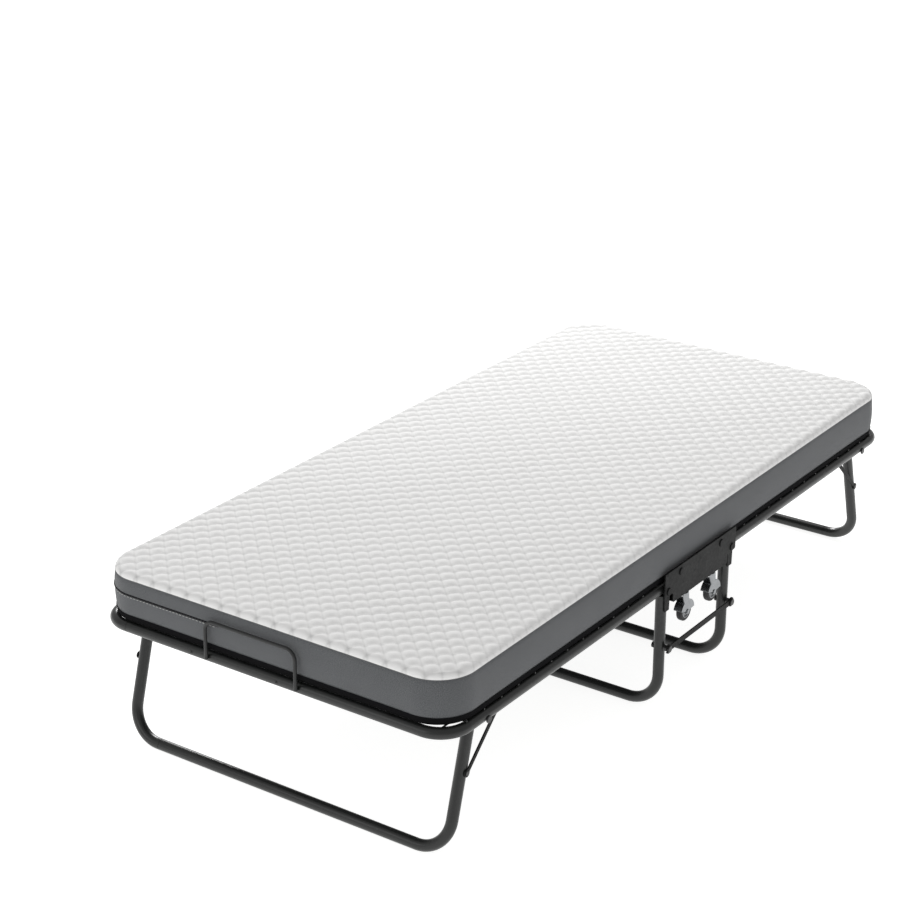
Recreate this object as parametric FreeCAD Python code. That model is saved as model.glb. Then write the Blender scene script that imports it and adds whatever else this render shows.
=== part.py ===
import FreeCAD, Part
import math
import os

# Folding guest bed on a centre carriage with four casters.
# Origin on the floor under the middle of the bed, +X to the head end, +Y left, +Z up, millimetres.
# The head half is drawn, and the foot half is the same set of pieces turned half a turn about Z.

# Mattress
mattress_length = 1900.0
mattress_width = 905.0
mattress_thickness = 95.0
mattress_corner_radius = 85.0
mattress_lift = 0.5             # air between the wire mesh and the mattress
mattress_split = 0.3            # fold section to the mattress half

# Deck frame
rail_height = 300.0             # centreline of the deck tube above the floor
tube_radius = 12.5
tube_wall = 1.2
rail_inset = 7.0                # mattress side to the rail centreline
deck_corner_radius = 62.0
crossbar_radius = 10.0
crossbar_wall = 1.2
inner_crossbar_reach = 68.0     # deck pivot to the inner crossbar
rail_end_reach = 12.5           # deck pivot to the inner end of the side rail
end_leg_crossbar_gap = 41.0     # folded end leg crossbar to the middle crossbar

# Wire mesh
wire_radius = 2.0
wire_pitch = 60.0
long_wire_reach = 9.5           # how far the long wires run past the deck pivot
cross_wire_overhang = 4.0
end_wire_gap = 57.0             # end rail to the nearest cross wire

# Handle
handle_wire_radius = 4.0
handle_width = 233.0
handle_rise = 88.0
handle_bend_radius = 22.0
handle_offset = -30.0

# Fold
pivot_rise = 25.0               # deck pivot above the rail centreline
fold_gap = 2.5                  # half of the air between the folded mattress halves
folded_leg_gap = 1.5            # folded rail to the centre leg beside it

# Centre legs
centre_leg_pivot_drop = 4.0     # leg pivot below the rail centreline
centre_leg_stub = 12.0          # leg pivot to the top of the tube
centre_leg_offset = 0.5         # leg tube outboard of the rail
centre_leg_bend_radius = 74.0
lock_bolt_reach = 138.0         # leg pivot to the lock bolt

# End legs
end_leg_inset = 118.0           # end rail centreline to the leg pivot
end_leg_pivot_drop = 5.0
end_leg_lean = 16.2             # degrees outward from upright
end_leg_washer = 5.0
end_leg_bend_radius = 72.0
end_leg_round_radius = 13.0
seam_gap = 10.0                 # bend to the tube joint
seam_groove = 0.6

# Stays between the deck and the end legs
stay_thickness = 3.0
stay_half_width = 4.5
stay_gap = 0.6                  # leg tube to the stay
stay_reach = 80.0               # leg pivot to the stay stud
stay_drop = 9.0                 # leg pivot down to the stay stud
stay_foot = 120.0               # leg pivot to the stay rivet
stay_eye_radius = 8.0
stay_pin_radius = 3.0
stay_head_radius = 5.0
stay_head_height = 0.8
stay_head_gap = 0.2
stay_notch_gap = 0.6
stay_notch_travel = 14          # degrees of leg swing that free the stud
stud_clearance = 0.3
stay_bracket_gap = 3.0          # stay to the bracket on the rail
stay_bracket_half_width = 10.0
stay_bracket_drop = 7.0
stay_bracket_thickness = 3.0

# Centre carriage
lug_thickness = 3.0
lug_gap = 0.5
lug_eye_margin = 4.0            # pivot nut to the rim of a lug eye
lug_grip = 17.5                 # inner end of the side rail to the end of the hinge lug
lug_low_inset = 3.5             # bottom of the side rail to the hinge lug
lug_high_inset = 1.5            # top of the side rail to the hinge lug
lug_root_lap = 1.0
lug_web_back = (9.0, 8.0)       # deck pivot to the web corner below it
lug_web_front = (10.0, 6.0)     # deck pivot to the web corner beside it
leg_lug_length = 48.0
leg_lug_inset = 3.5             # side of the centre leg tube to the lug tail
leg_lug_flare = 2.0
plate_thickness = 3.0
plate_top_rise = 16.0           # deck pivot to the top of the side plate
plate_half_length = 157.5
plate_upper_drop = 10.0         # leg pivot to the step of the side plate
plate_step_inset = 35.5
plate_step_drop = 24.0
plate_corner = 5.0
flange_width = 50.0
flange_thickness = 2.0
flange_inset = 4.0
flange_lap = 1.0                # flange run into the side plate
base_bar_radius = 10.0
base_bar_wall = 1.2
base_bar_place = 97.0
base_bar_end_gap = 4.0
base_bolt_inset = 25.0          # inner face of the side plate to the base bar bolt

# Fasteners
pivot_radius = 5.0
running_gap = 0.05
low_head_height = 2.5
low_head_radius = 9.0
pivot_nut_height = 4.0
pivot_nut_radius = 8.0
pivot_nut_gap = 0.3             # nut to the lug that turns on the pivot
leg_pin_gap = 0.1
shank_end = 1.0                 # thread showing past a nut
head_round_share = 0.8
small_bolt_radius = 4.0
small_head_radius = 8.0
small_head_height = 3.5
small_nut_radius = 7.0
small_nut_height = 4.0
head_round = 1.6

# Lock bars
bar_thickness = 3.0
bar_half_height = 6.5
bar_eye_radius = 11.0
bar_gap = 0.5                   # pivot heads to the bar
bar_side_gap = 0.3
slot_gap = 0.45
slot_flare = 1.6

# Casters
caster_place = 60.0
caster_inset = 10.0             # inner face of the side plate to the caster stem
caster_stem_radius = 5.0
caster_stem_head_radius = 9.0
caster_stem_head_height = 3.0
caster_drop = 76.0              # flange to the bottom of the wheel
caster_trail = 12.0
wheel_radius = 24.0
wheel_width = 14.0
wheel_round = 4.0
hub_radius = 16.0
hub_recess = 3.0
hub_rim = 2.0                   # tyre to the recess in the hub
hub_boss = 1.0                  # axle head to the recess in the hub
axle_radius = 3.0
axle_head_radius = 5.0
axle_head_height = 2.0
fork_thickness = 2.0
fork_gap = 1.5                  # wheel to fork cheek
fork_top_gap = 1.5              # flange to the swivel head
fork_top_thickness = 4.0
fork_top_radius = 14.0
fork_eye_radius = 7.0
hood_gap = 2.5                  # tyre to hood
hood_start_angle = 5.0
hood_end_angle = 165.0
hood_steps = 6
hood_top_gap = 1.0              # swivel head to the top of the hood
hood_relief = 0.5               # cheek trimmed inside the hood
fork_cheek_inset = 2.0
fork_lap = 1.0

# Heights and places that follow
rail_y = mattress_width / 2 - rail_inset
rail_outer_y = rail_y + tube_radius
deck_end_x = mattress_length / 2 - rail_inset
rail_top = rail_height + tube_radius
long_wire_z = rail_top - wire_radius
cross_wire_z = rail_top + wire_radius
crossbar_z = long_wire_z - wire_radius - crossbar_radius
mattress_bottom = cross_wire_z + wire_radius + mattress_lift
mattress_top = mattress_bottom + mattress_thickness
deck_pivot_z = rail_height + pivot_rise
deck_pivot_x = mattress_top - deck_pivot_z + fold_gap
folded_rail_x = deck_pivot_x + pivot_rise
rail_start_x = deck_pivot_x + rail_end_reach
inner_crossbar_x = deck_pivot_x + inner_crossbar_reach
leg_pivot_x = folded_rail_x + 2 * tube_radius + folded_leg_gap
leg_pivot_z = rail_height - centre_leg_pivot_drop
leg_y = rail_y + centre_leg_offset
leg_outer_y = leg_y + tube_radius
lock_bolt_z = leg_pivot_z - lock_bolt_reach
plate_inner_y = leg_outer_y + lug_thickness + lug_gap
plate_outer_y = plate_inner_y + plate_thickness
bar_inner_y = plate_outer_y + low_head_height + bar_gap
bar_outer_y = bar_inner_y + bar_thickness
plate_top = deck_pivot_z + plate_top_rise
plate_step_z = leg_pivot_z - plate_upper_drop
plate_bottom = plate_step_z - plate_step_drop
flange_half_length = plate_half_length - plate_step_inset - flange_inset
base_bar_z = plate_bottom + flange_thickness + base_bar_radius
end_leg_x = deck_end_x - end_leg_inset
end_leg_z = rail_height - end_leg_pivot_drop
end_leg_y = rail_y - 2 * tube_radius - end_leg_washer
end_leg_fall = end_leg_z - tube_radius
end_leg_foot_x = end_leg_x + end_leg_fall * math.tan(math.radians(end_leg_lean))
end_leg_length = end_leg_fall / math.cos(math.radians(end_leg_lean))
middle_crossbar_x = end_leg_x - end_leg_length - end_leg_crossbar_gap
end_leg_fold = 90.0 + end_leg_lean
stay_x = end_leg_x - stay_reach
stay_z = end_leg_z - stay_drop
stay_inner_y = end_leg_y + tube_radius + stay_gap
stay_outer_y = stay_inner_y + stay_thickness
stay_foot_x = end_leg_x + stay_foot * math.sin(math.radians(end_leg_lean))
stay_foot_z = end_leg_z - stay_foot * math.cos(math.radians(end_leg_lean))
stay_angle = math.degrees(math.atan2(stay_z - stay_foot_z, stay_x - stay_foot_x))
stay_length = math.hypot(stay_x - stay_foot_x, stay_z - stay_foot_z)
stay_swing = 180.0 + end_leg_fold - stay_angle
caster_y = plate_inner_y - caster_inset
base_bolt_y = plate_inner_y - base_bolt_inset
wheel_z = plate_bottom - caster_drop + wheel_radius

small = 1e-6                     # lengths below this count as none
cut_margin = 1.0                 # how far a cutter runs past the face it opens
os.makedirs("parts", exist_ok=True)


def vec(x, y, z):
    return FreeCAD.Vector(x, y, z)


def rod(start, end, radius):
    axis = end.sub(start)
    return Part.makeCylinder(radius, axis.Length, start, axis)


def ring(start, end, outer, inner):
    return rod(start, end, outer).cut(rod(start, end, inner))


def pin_y(x, z, y_low, y_high, radius):
    return rod(vec(x, y_low, z), vec(x, y_high, z), radius)


def ring_y(x, z, y_low, y_high, outer, inner):
    return ring(vec(x, y_low, z), vec(x, y_high, z), outer, inner)


def head_y(x, z, y_low, height, radius):
    # Low button head: a disc whose outer edge is rounded.
    disc = pin_y(x, z, y_low, y_low + height, radius)
    flat = [e for e in disc.Edges if e.BoundBox.YLength < small]
    rim = [e for e in flat if abs(e.BoundBox.YMin - y_low - height) < small]
    return disc.makeFillet(min(head_round, height * head_round_share), rim)


def rounded_path(points, radius):
    # Straight runs joined by tangent arcs of one radius.
    edges = []
    start = points[0]
    for here, after in zip(points[1:-1], points[2:]):
        before_dir = here.sub(start).normalize()
        after_dir = after.sub(here).normalize()
        turn = before_dir.getAngle(after_dir)
        cut = radius * math.tan(turn / 2)
        first = here.sub(vec(*before_dir) * cut)
        last = here.add(vec(*after_dir) * cut)
        inward = after_dir.sub(before_dir).normalize()
        middle = here.add(inward * (radius / math.cos(turn / 2) - radius))
        edges.append(Part.LineSegment(start, first).toShape())
        edges.append(Part.Arc(first, middle, last).toShape())
        start = last
    edges.append(Part.LineSegment(start, points[-1]).toShape())
    return Part.Wire(edges)


def sweep_round(path, radius):
    first = path.OrderedEdges[0]
    start = path.OrderedVertexes[0].Point
    along = first.tangentAt(first.FirstParameter)
    profile = Part.Wire([Part.makeCircle(radius, start, along)])
    return path.makePipeShell([profile], True, True)


def tube(points, bend, outer, wall):
    path = rounded_path(points, bend)
    return sweep_round(path, outer).cut(sweep_round(path, outer - wall))


def slab_y(points, y_low, thickness, corner=0.0):
    # Flat plate: an outline in X and Z, thickened along Y.
    corners = [vec(x, y_low, z) for x, z in points]
    face = Part.Face(Part.makePolygon(corners + corners[:1]))
    solid = face.extrude(vec(0, thickness, 0))
    if corner:
        upright = [e for e in solid.Edges if e.BoundBox.XLength < small and e.BoundBox.ZLength < small]
        solid = solid.makeFillet(corner, upright)
    return solid


def box(x_low, x_high, y_low, y_high, z_low, z_high):
    size = (x_high - x_low, y_high - y_low, z_high - z_low)
    return Part.makeBox(*size, vec(x_low, y_low, z_low))


def both_sides(solids):
    return solids + [s.mirror(vec(0, 0, 0), vec(0, 1, 0)) for s in solids]


def both_ends(solids):
    return solids + [turned(s) for s in solids]


def turned(solid):
    copy = solid.copy()
    copy.rotate(vec(0, 0, 0), vec(0, 0, 1), 180)
    return copy


def save(node, solids):
    shape = solids[0] if len(solids) == 1 else Part.makeCompound(solids)
    shape.exportStep(os.path.join("parts", node + ".step"))
    volume = sum(s.Volume for s in solids)
    print(node, len(solids), "solids", round(volume / 1000.0, 1), "cm3", all(s.isValid() for s in solids))


def save_ends(name, solids):
    save("head_" + name, solids)
    save("foot_" + name, [turned(s) for s in solids])


def seam_ring(x, y, z):
    # Cutter for the shallow groove where two tubes meet end to end.
    outer = tube_radius + cut_margin
    return ring_y(x, z, y - seam_groove, y + seam_groove, outer, tube_radius - seam_groove)


# ---- Deck ----

def deck_path():
    return [vec(rail_start_x, rail_y, rail_height), vec(deck_end_x, rail_y, rail_height),
            vec(deck_end_x, -rail_y, rail_height), vec(rail_start_x, -rail_y, rail_height)]


deck_outer = sweep_round(rounded_path(deck_path(), deck_corner_radius), tube_radius)


def make_deck_frame():
    frame = tube(deck_path(), deck_corner_radius, tube_radius, tube_wall)
    for side in (1, -1):
        hole = pin_y(end_leg_x, end_leg_z, side * rail_y - tube_radius, side * rail_y + tube_radius,
                     small_bolt_radius)
        frame = frame.cut(hole)
    frame = frame.cut(seam_ring(deck_end_x, deck_corner_radius + seam_gap - rail_y, rail_height))
    save_ends("deck_frame", [frame])


def make_crossbars():
    bars = []
    for x in (inner_crossbar_x, middle_crossbar_x):
        bar = ring(vec(x, -rail_y, crossbar_z), vec(x, rail_y, crossbar_z),
                   crossbar_radius, crossbar_radius - crossbar_wall)
        bars.append(bar.cut(deck_outer).Solids[0])
    save_ends("deck_crossbars", bars)


def make_hinge_lugs():
    # Flat lug from the side rail up to the deck pivot.
    root_x = deck_pivot_x + rail_end_reach - lug_root_lap
    grip_x = deck_pivot_x + rail_end_reach + lug_grip
    low = rail_height - tube_radius + lug_low_inset
    high = rail_top - lug_high_inset
    eye = pin_y(deck_pivot_x, deck_pivot_z, rail_outer_y, rail_outer_y + lug_thickness,
                pivot_nut_radius + lug_eye_margin)
    back = (deck_pivot_x - lug_web_back[0], deck_pivot_z - lug_web_back[1])
    front = (deck_pivot_x + lug_web_front[0], deck_pivot_z + lug_web_front[1])
    outline = [back, (root_x, low), (grip_x, low), (grip_x, high), front]
    web = slab_y(outline, rail_outer_y, lug_thickness)
    lug = eye.fuse(web).removeSplitter()
    bore = pin_y(deck_pivot_x, deck_pivot_z, rail_outer_y, rail_outer_y + lug_thickness,
                 pivot_radius + running_gap)
    save_ends("hinge_lugs", both_sides([lug.cut(bore)]))


def make_mesh():
    long_wires = []
    half_count = int((rail_y - tube_radius) // wire_pitch)
    for i in range(-half_count, half_count + 1):
        y = i * wire_pitch
        start = vec(deck_pivot_x - long_wire_reach, y, long_wire_z)
        wire = rod(start, vec(deck_end_x, y, long_wire_z), wire_radius)
        pieces = wire.cut(deck_outer).Solids
        long_wires.append(max(pieces, key=lambda s: s.Volume))
    save_ends("mesh_long_wires", long_wires)
    cross_wires = []
    reach = rail_y + cross_wire_overhang
    x = deck_end_x - end_wire_gap
    while x > rail_start_x + wire_radius:
        cross_wires.append(rod(vec(x, -reach, cross_wire_z), vec(x, reach, cross_wire_z), wire_radius))
        x -= wire_pitch
    save_ends("mesh_cross_wires", cross_wires)


def make_handle():
    x = deck_end_x + tube_radius + handle_wire_radius
    left = handle_offset + handle_width / 2
    right = handle_offset - handle_width / 2
    top = rail_height + handle_rise
    path = rounded_path([vec(x, left, rail_height), vec(x, left, top), vec(x, right, top),
                         vec(x, right, rail_height)], handle_bend_radius)
    save_ends("handle", [sweep_round(path, handle_wire_radius)])


def make_mattress_half():
    start_x = deck_pivot_x + mattress_split
    half = box(start_x, mattress_length / 2, -mattress_width / 2, mattress_width / 2,
               mattress_bottom, mattress_top)
    upright = [e for e in half.Edges if e.BoundBox.ZLength > mattress_thickness / 2]
    outer = [e for e in upright if e.BoundBox.XMin > start_x + small]
    save_ends("mattress_half", [half.makeFillet(mattress_corner_radius, outer)])


def make_fold_section():
    section = box(-deck_pivot_x, deck_pivot_x, -mattress_width / 2, mattress_width / 2,
                  mattress_bottom, mattress_top)
    save("mattress_fold_section", [section])


# ---- End legs ----

def leg_direction():
    lean = math.radians(end_leg_lean)
    return vec(math.sin(lean), 0, -math.cos(lean))


def make_end_leg():
    pivot = vec(end_leg_x, 0, end_leg_z)
    top = pivot.sub(leg_direction() * end_leg_round_radius)
    points = [vec(top.x, end_leg_y, top.z), vec(end_leg_foot_x, end_leg_y, tube_radius),
              vec(end_leg_foot_x, -end_leg_y, tube_radius), vec(top.x, -end_leg_y, top.z)]
    leg = tube(points, end_leg_bend_radius, tube_radius, tube_wall)
    # The top of each tube is rounded about the pivot.
    reach = end_leg_y + tube_radius + cut_margin
    above = Part.makeBox(4 * tube_radius, 2 * reach, 2 * tube_radius)
    above.translate(vec(-2 * tube_radius, -reach, 0))
    above.rotate(vec(0, 0, 0), vec(0, 1, 0), -end_leg_lean)
    above.translate(pivot)
    above = above.cut(pin_y(end_leg_x, end_leg_z, -reach, reach, end_leg_round_radius))
    leg = leg.cut(above)
    leg = leg.cut(pin_y(end_leg_x, end_leg_z, -reach, reach, small_bolt_radius + running_gap))
    leg = leg.cut(seam_ring(end_leg_foot_x, end_leg_bend_radius + seam_gap - end_leg_y, tube_radius))
    for side in (1, -1):
        leg = leg.cut(pin_y(stay_foot_x, stay_foot_z, side * end_leg_y, side * reach, stay_pin_radius))
    save_ends("end_leg", [leg])


def make_end_leg_bolts():
    inner = end_leg_y - tube_radius
    nut = ring_y(end_leg_x, end_leg_z, inner - small_nut_height, inner, small_nut_radius, small_bolt_radius)
    washer = ring_y(end_leg_x, end_leg_z, inner + 2 * tube_radius, rail_y - tube_radius,
                    small_nut_radius, small_bolt_radius)
    shank = pin_y(end_leg_x, end_leg_z, inner - small_nut_height - shank_end, rail_outer_y,
                  small_bolt_radius)
    bolt = shank.fuse(head_y(end_leg_x, end_leg_z, rail_outer_y, small_head_height, small_head_radius))
    save_ends("end_leg_bolts", both_sides([nut, washer, bolt]))


def stud_in_stay(angle):
    # Where the stud is, seen from the stay, once the leg has swung by angle.
    leg = math.radians(end_leg_lean - 90.0 - angle)
    foot_x = end_leg_x + stay_foot * math.cos(leg)
    foot_z = end_leg_z + stay_foot * math.sin(leg)
    turn = math.radians(angle * (1.0 - stay_swing / end_leg_fold))
    dx = stay_x - foot_x
    dz = stay_z - foot_z
    x = stay_foot_x + dx * math.cos(turn) - dz * math.sin(turn)
    z = stay_foot_z + dx * math.sin(turn) + dz * math.cos(turn)
    return x, z


def make_stays():
    # Flat strip on the leg's rivet, with a side notch over the deck's stud.
    strip = box(0, stay_length, stay_inner_y, stay_outer_y, -stay_half_width, stay_half_width)
    strip.rotate(vec(0, 0, 0), vec(0, -1, 0), stay_angle)
    strip.translate(vec(stay_foot_x, 0, stay_foot_z))
    for x, z in ((stay_foot_x, stay_foot_z), (stay_x, stay_z)):
        strip = strip.fuse(pin_y(x, z, stay_inner_y, stay_outer_y, stay_eye_radius))
    strip = strip.removeSplitter()
    strip = strip.cut(pin_y(stay_foot_x, stay_foot_z, stay_inner_y, stay_outer_y,
                            stay_pin_radius + running_gap))
    for angle in range(stay_notch_travel):
        x, z = stud_in_stay(angle)
        strip = strip.cut(pin_y(x, z, stay_inner_y, stay_outer_y, stay_pin_radius + stay_notch_gap))
    strip = max(strip.Solids, key=lambda s: s.Volume)
    mirrored = strip.mirror(vec(0, 0, 0), vec(0, 1, 0))
    save("head_left_stay", [strip])
    save("head_right_stay", [mirrored])
    save("foot_left_stay", [turned(mirrored)])
    save("foot_right_stay", [turned(strip)])


def make_stay_fittings():
    shank = pin_y(stay_foot_x, stay_foot_z, end_leg_y + tube_radius / 2, stay_outer_y + stay_head_gap,
                  stay_pin_radius)
    head = pin_y(stay_foot_x, stay_foot_z, stay_outer_y + stay_head_gap,
                 stay_outer_y + stay_head_gap + stay_head_height, stay_head_radius)
    save_ends("stay_rivets", both_sides([shank.fuse(head)]))
    near = stay_outer_y + stay_bracket_gap
    tab = box(stay_x - stay_bracket_half_width, stay_x + stay_bracket_half_width,
              near, near + stay_bracket_thickness, stay_z - stay_bracket_drop, rail_height).cut(deck_outer)
    tab = min(tab.Solids, key=lambda s: s.BoundBox.ZMin)
    stud = pin_y(stay_x, stay_z, end_leg_y + tube_radius + stud_clearance, near, stay_pin_radius)
    save_ends("stay_brackets", both_sides([tab.fuse(stud)]))


# ---- Centre carriage ----

def make_side_plates():
    step = plate_half_length - plate_step_inset
    outline = [(-plate_half_length, plate_step_z), (-plate_half_length, plate_top),
               (plate_half_length, plate_top), (plate_half_length, plate_step_z), (step, plate_step_z),
               (step, plate_bottom), (-step, plate_bottom), (-step, plate_step_z)]
    plate = slab_y(outline, plate_inner_y, plate_thickness, plate_corner)
    flange_top = plate_bottom + flange_thickness
    flange = box(-flange_half_length, flange_half_length, plate_inner_y - flange_width,
                 plate_inner_y + flange_lap, plate_bottom, flange_top)
    plate = plate.fuse(flange).removeSplitter()
    under = plate_bottom - cut_margin
    over = flange_top + cut_margin
    for side in (1, -1):
        for x, z in ((deck_pivot_x, deck_pivot_z), (leg_pivot_x, leg_pivot_z)):
            plate = plate.cut(pin_y(side * x, z, plate_inner_y, plate_outer_y, pivot_radius))
        for x, y, radius in ((caster_place, caster_y, caster_stem_radius),
                             (base_bar_place, base_bolt_y, small_bolt_radius)):
            plate = plate.cut(rod(vec(side * x, y, under), vec(side * x, y, over), radius))
    save("left_side_plate", [plate])
    save("right_side_plate", [plate.mirror(vec(0, 0, 0), vec(0, 1, 0))])


def make_base_bars():
    reach = plate_inner_y - base_bar_end_gap
    bar = ring(vec(base_bar_place, -reach, base_bar_z), vec(base_bar_place, reach, base_bar_z),
               base_bar_radius, base_bar_radius - base_bar_wall)
    bolts = []
    for side in (1, -1):
        y = side * base_bolt_y
        start = vec(base_bar_place, y, plate_bottom)
        shank = rod(start, vec(base_bar_place, y, base_bar_z), small_bolt_radius)
        bar = bar.cut(shank)
        head = rod(start, vec(base_bar_place, y, plate_bottom - small_head_height), small_nut_radius)
        bolts.append(shank.fuse(head))
    save("base_bars", both_ends([bar]))
    save("base_bar_bolts", both_ends(bolts))


def make_pivots():
    tail_y = rail_outer_y - pivot_nut_height
    deck = pin_y(deck_pivot_x, deck_pivot_z, tail_y, plate_outer_y, pivot_radius)
    deck = deck.fuse(head_y(deck_pivot_x, deck_pivot_z, plate_outer_y, low_head_height, low_head_radius))
    tail = pin_y(deck_pivot_x, deck_pivot_z, tail_y, rail_outer_y - pivot_nut_gap, pivot_nut_radius)
    deck = deck.fuse(tail).removeSplitter()
    save("deck_pivot_rivets", both_ends(both_sides([deck])))
    leg = pin_y(leg_pivot_x, leg_pivot_z, leg_outer_y + leg_pin_gap, plate_outer_y, pivot_radius)
    leg = leg.fuse(head_y(leg_pivot_x, leg_pivot_z, plate_outer_y, low_head_height, low_head_radius))
    save("leg_pivot_pins", both_ends(both_sides([leg])))


# ---- Centre legs and lock bars ----

def make_centre_legs():
    top = leg_pivot_z - centre_leg_stub
    points = [vec(leg_pivot_x, leg_y, top), vec(leg_pivot_x, leg_y, tube_radius),
              vec(leg_pivot_x, -leg_y, tube_radius), vec(leg_pivot_x, -leg_y, top)]
    leg = tube(points, centre_leg_bend_radius, tube_radius, tube_wall)
    reach = leg_outer_y + cut_margin
    leg = leg.cut(pin_y(leg_pivot_x, lock_bolt_z, -reach, reach, small_bolt_radius))
    save_ends("centre_leg_tube", [leg])
    eye = pin_y(leg_pivot_x, leg_pivot_z, leg_outer_y, leg_outer_y + lug_thickness,
                pivot_nut_radius + lug_eye_margin)
    low = leg_pivot_z - leg_lug_length
    narrow = tube_radius - leg_lug_inset
    wide = narrow + leg_lug_flare
    tail = slab_y([(leg_pivot_x - narrow, low), (leg_pivot_x + narrow, low),
                   (leg_pivot_x + wide, leg_pivot_z), (leg_pivot_x - wide, leg_pivot_z)],
                  leg_outer_y, lug_thickness)
    lug = eye.fuse(tail).removeSplitter()
    lug = lug.cut(pin_y(leg_pivot_x, leg_pivot_z, leg_outer_y, leg_outer_y + lug_thickness,
                        pivot_radius + running_gap))
    save_ends("centre_leg_lugs", both_sides([lug]))


def make_lock_bolts():
    inner = leg_y - tube_radius
    nut = ring_y(leg_pivot_x, lock_bolt_z, inner - small_nut_height, inner, small_nut_radius,
                 small_bolt_radius)
    spacer = ring_y(leg_pivot_x, lock_bolt_z, leg_outer_y, bar_inner_y - bar_side_gap,
                    small_nut_radius, small_bolt_radius)
    shank = pin_y(leg_pivot_x, lock_bolt_z, inner - small_nut_height - shank_end,
                  bar_outer_y + bar_side_gap, small_bolt_radius)
    bolt = shank.fuse(head_y(leg_pivot_x, lock_bolt_z, bar_outer_y + bar_side_gap, small_head_height,
                             small_head_radius))
    save_ends("lock_bolts", both_sides([nut, spacer, bolt]))


def make_lock_bars():
    # Eye on the head leg's bolt, open fork over the foot leg's bolt.
    bar = box(-leg_pivot_x, leg_pivot_x, bar_inner_y, bar_outer_y,
              lock_bolt_z - bar_half_height, lock_bolt_z + bar_half_height)
    for side in (1, -1):
        bar = bar.fuse(pin_y(side * leg_pivot_x, lock_bolt_z, bar_inner_y, bar_outer_y, bar_eye_radius))
    bar = bar.removeSplitter()
    bar = bar.cut(pin_y(leg_pivot_x, lock_bolt_z, bar_inner_y, bar_outer_y,
                        small_bolt_radius + running_gap))
    half_slot = small_bolt_radius + slot_gap
    mouth = -leg_pivot_x - bar_eye_radius - cut_margin
    slot = slab_y([(-leg_pivot_x, lock_bolt_z - half_slot), (-leg_pivot_x, lock_bolt_z + half_slot),
                   (mouth, lock_bolt_z + half_slot + slot_flare),
                   (mouth, lock_bolt_z - half_slot - slot_flare)], bar_inner_y, bar_thickness)
    slot = slot.fuse(pin_y(-leg_pivot_x, lock_bolt_z, bar_inner_y, bar_outer_y, half_slot))
    bar = bar.cut(slot)
    save("left_lock_bar", [bar])
    save("right_lock_bar", [bar.mirror(vec(0, 0, 0), vec(0, 1, 0))])


# ---- Casters ----

def make_wheel(x, y):
    tyre = ring_y(x, wheel_z, y - wheel_width / 2, y + wheel_width / 2, wheel_radius, hub_radius)
    flat = [e for e in tyre.Edges if e.BoundBox.YLength < small]
    rims = [e for e in flat if e.BoundBox.XLength > wheel_radius + hub_radius]
    tyre = tyre.makeFillet(wheel_round, rims)
    hub = pin_y(x, wheel_z, y - wheel_width / 2, y + wheel_width / 2, hub_radius)
    for low in (y - wheel_width / 2, y + wheel_width / 2 - hub_recess):
        hub = hub.cut(ring_y(x, wheel_z, low, low + hub_recess, hub_radius - hub_rim,
                             axle_head_radius + hub_boss))
    hub = hub.cut(pin_y(x, wheel_z, y - wheel_width, y + wheel_width, axle_radius + running_gap))
    return tyre, hub


def make_fork(stem_x, y):
    axle_x = stem_x + caster_trail
    top = plate_bottom - fork_top_gap
    cheek_top = top - fork_top_thickness
    inner = wheel_width / 2 + fork_gap
    outer = inner + fork_thickness
    fork = rod(vec(stem_x, y, top), vec(stem_x, y, cheek_top), fork_top_radius)
    hood_inner = wheel_radius + hood_gap
    # Cheeks taper from the swivel head to the axle eye.
    for low in (y - outer, y + inner):
        cheek = slab_y([(stem_x + fork_top_radius, cheek_top + fork_lap),
                        (stem_x - fork_top_radius + fork_cheek_inset, cheek_top + fork_lap),
                        (axle_x - fork_eye_radius, wheel_z), (axle_x + fork_eye_radius, wheel_z)],
                       low, fork_thickness)
        fork = fork.fuse(cheek)
        fork = fork.fuse(pin_y(axle_x, wheel_z, low, low + fork_thickness, fork_eye_radius))
    # Hood over the wheel: part of a cylinder wall that closes onto the cheeks.
    hood = pin_y(axle_x, wheel_z, y - outer, y + outer, hood_inner + fork_thickness)
    hood = hood.cut(pin_y(axle_x, wheel_z, y - inner, y + inner, hood_inner))
    wedge_points = [(axle_x, wheel_z)]
    wedge_radius = 2 * hood_inner
    for i in range(hood_steps + 1):
        angle = math.radians(hood_start_angle + (hood_end_angle - hood_start_angle) * i / hood_steps)
        wedge_points.append((axle_x + wedge_radius * math.cos(angle),
                             wheel_z + wedge_radius * math.sin(angle)))
    hood = hood.common(slab_y(wedge_points, y - outer, 2 * outer))
    hood = hood.common(box(axle_x - wedge_radius, axle_x + wedge_radius, y - outer, y + outer,
                           wheel_z, top - hood_top_gap))
    fork = fork.fuse(hood).removeSplitter()
    fork = fork.cut(pin_y(axle_x, wheel_z, y - outer, y + outer, axle_radius))
    fork = fork.cut(rod(vec(stem_x, y, cheek_top - cut_margin), vec(stem_x, y, top + cut_margin),
                        caster_stem_radius + running_gap))
    fork = fork.cut(pin_y(axle_x, wheel_z, y - inner, y + inner, hood_inner - hood_relief))
    return max(fork.Solids, key=lambda s: s.Volume)


def make_axle(stem_x, y):
    x = stem_x + caster_trail
    outer = wheel_width / 2 + fork_gap + fork_thickness
    axle = pin_y(x, wheel_z, y - outer, y + outer, axle_radius)
    for low in (y - outer - axle_head_height, y + outer):
        axle = axle.fuse(pin_y(x, wheel_z, low, low + axle_head_height, axle_head_radius))
    return axle


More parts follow.
